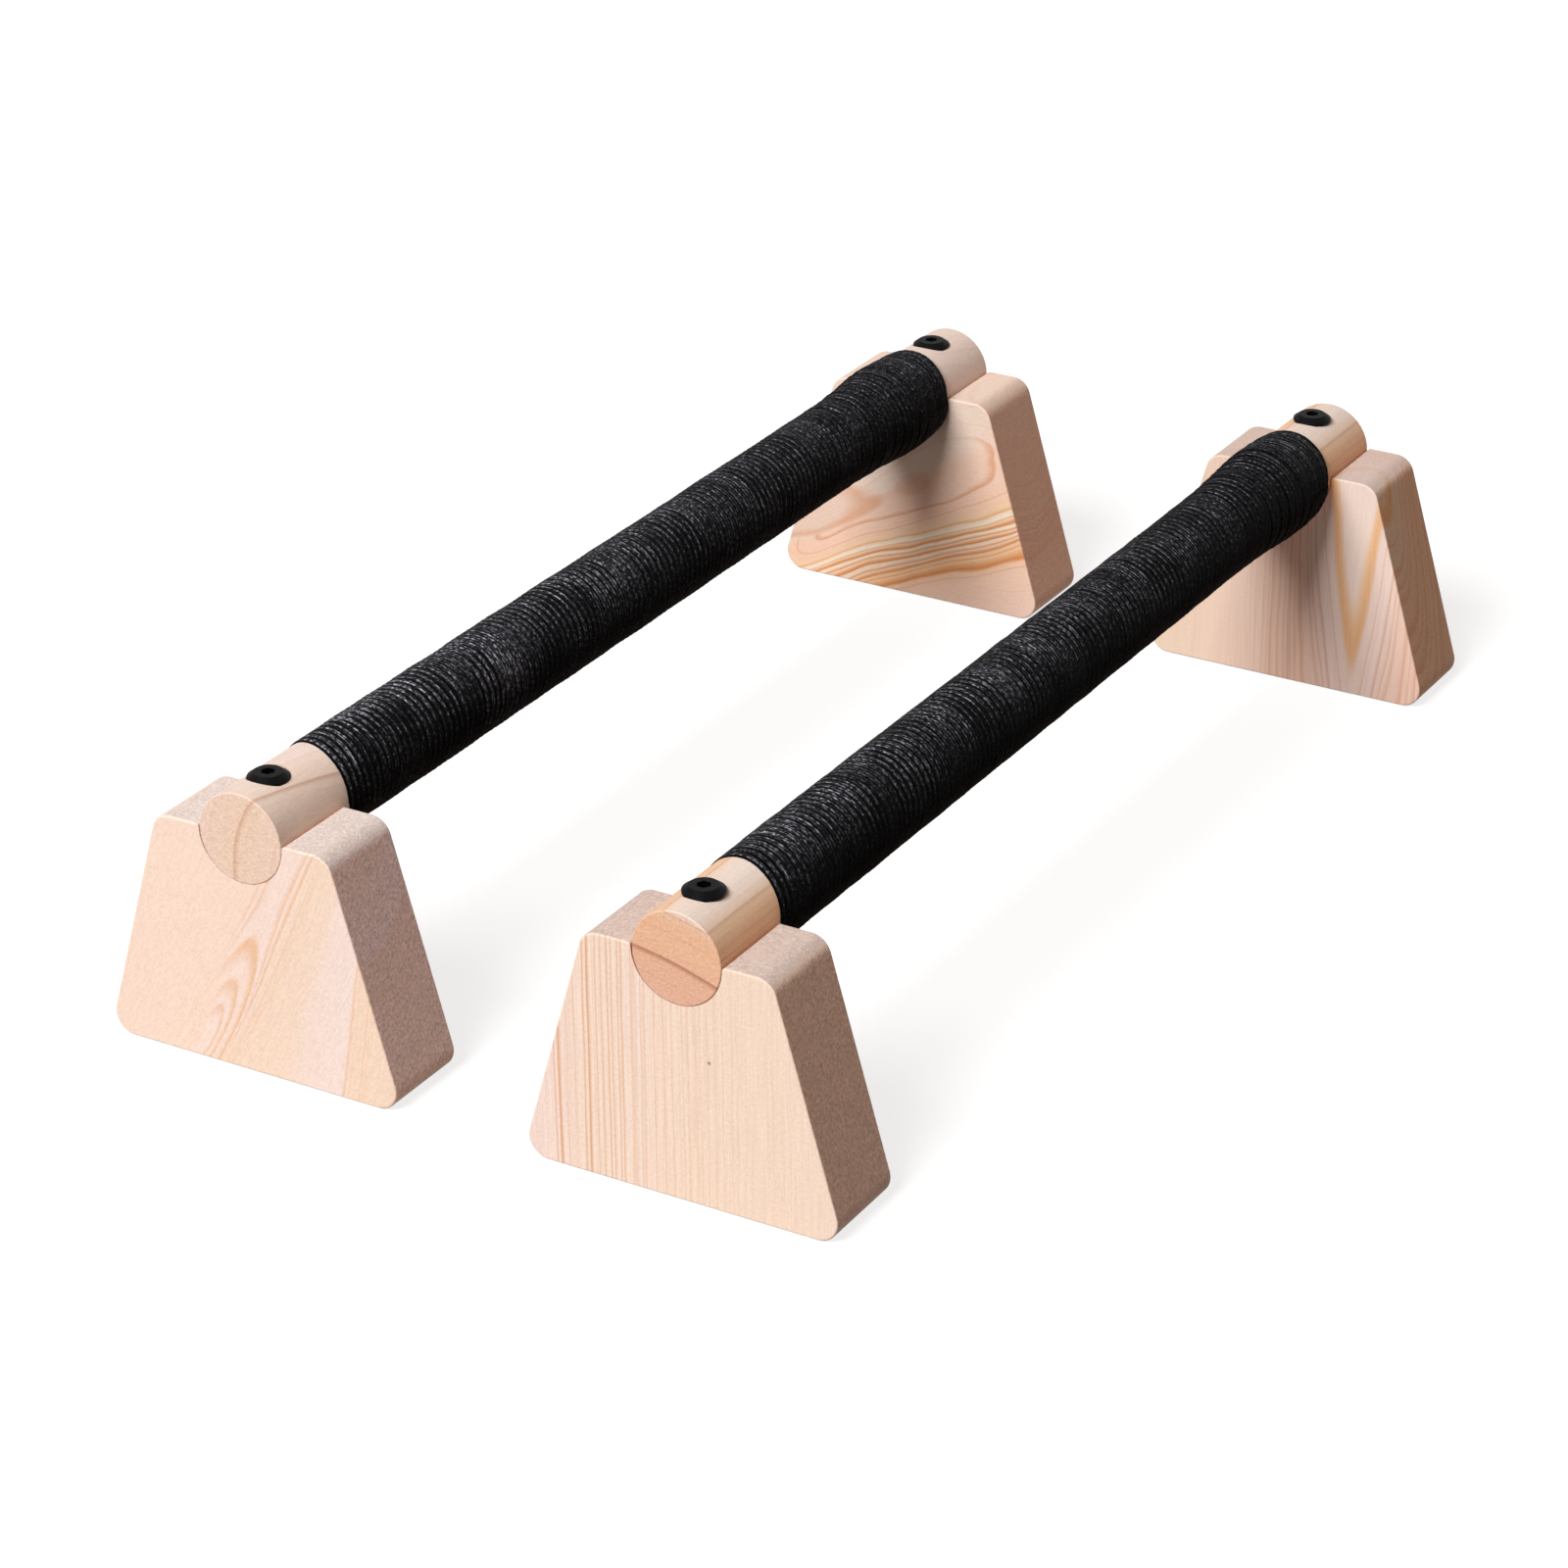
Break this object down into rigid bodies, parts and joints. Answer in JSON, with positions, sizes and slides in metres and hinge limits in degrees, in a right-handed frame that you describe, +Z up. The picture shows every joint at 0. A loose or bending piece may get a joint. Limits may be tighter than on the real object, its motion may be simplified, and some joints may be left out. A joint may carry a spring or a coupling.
{
  "type": "parallel bars",
  "caption": "Pair of low wooden parallel bars: round grips, wound with elastic strip and bolted into saddles on trapezoid feet, standing free side by side.",
  "frame": {"origin": "on the floor, at the middle of the pair", "axes": "+X across the pair from the left unit to the right unit, +Y along the bars from the near feet to the far feet, +Z up"},
  "size_m": [0.3194, 0.55, 0.1204],
  "materials": {
    "foot_wood": "sanded softwood, unvarnished",
    "dowel_wood": "turned and sanded hardwood, unvarnished",
    "elastic_wrap": "ribbed elastic knit, matte black",
    "black_steel": "satin black coating",
    "insert_metal": "zinc plated"
  },
  "bodies": {
    "left_unit": {"left_near_foot": "foot_wood", "left_far_foot": "foot_wood", "left_dowel": "dowel_wood", "left_grip_wrap": "elastic_wrap", "left_near_bolt": "black_steel", "left_far_bolt": "black_steel", "left_near_insert": "insert_metal", "left_far_insert": "insert_metal"},
    "right_unit": {"right_near_foot": "foot_wood", "right_far_foot": "foot_wood", "right_dowel": "dowel_wood", "right_grip_wrap": "elastic_wrap", "right_near_bolt": "black_steel", "right_far_bolt": "black_steel", "right_near_insert": "insert_metal", "right_far_insert": "insert_metal"}
  },
  "joints": [
    {"name": "bar_spacing", "type": "slide", "parent": "left_unit", "child": "right_unit", "axis": [1, 0, 0], "range_m": [-0.05, 0.35]}
  ]
}
